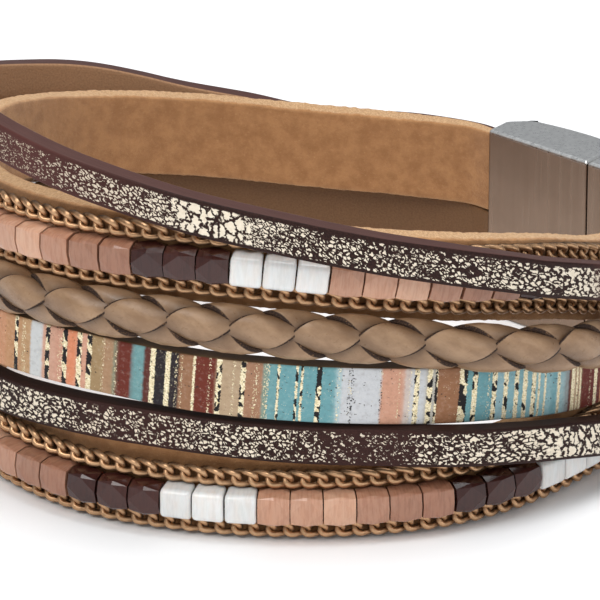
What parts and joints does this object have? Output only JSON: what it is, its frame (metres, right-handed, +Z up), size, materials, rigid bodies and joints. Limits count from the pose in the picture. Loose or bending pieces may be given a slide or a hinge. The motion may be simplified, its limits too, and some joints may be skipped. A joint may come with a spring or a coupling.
{
  "type": "leather wrap bracelet",
  "caption": "Wide leather bracelet of beaded suede, crackle-foil, striped and braided strands joined in a magnetic bar clasp, lying on its side.",
  "frame": {"origin": "middle of the bracelet's footprint, on the surface that it lies on", "axes": "+Z up, across the bracelet's width as it lies on its side; -Y towards the front of the loop; the clasp is at +X +Y"},
  "size_m": [0.0784, 0.0682, 0.0403],
  "materials": {
    "suede": "napped suede, matte",
    "crackle_leather": "dark brown with crackled pale gold foil",
    "stripe_leather": "printed cross stripes with foil lines",
    "braid_leather": "satin taupe",
    "beads": "opaque polished glass, faceted",
    "thread": "dark waxed thread",
    "chain_metal": "antique brass",
    "clasp_steel": "brushed"
  },
  "bodies": {
    "root": {"suede_strap_upper": "suede", "suede_strap_lower": "suede", "crackle_strap_upper": "crackle_leather", "crackle_strap_lower": "crackle_leather", "stripe_strap": "stripe_leather", "braid_strand_1": "braid_leather", "braid_strand_2": "braid_leather", "braid_strand_3": "braid_leather", "braid_strand_4": "braid_leather", "beads_upper": "beads", "beads_lower": "beads", "thread_upper": "thread", "thread_lower": "thread", "chain_upper_top": "chain_metal", "chain_upper_bottom": "chain_metal", "chain_lower_top": "chain_metal", "chain_lower_bottom": "chain_metal", "clasp_left": "clasp_steel", "clasp_right": "clasp_steel"}
  },
  "joints": []
}
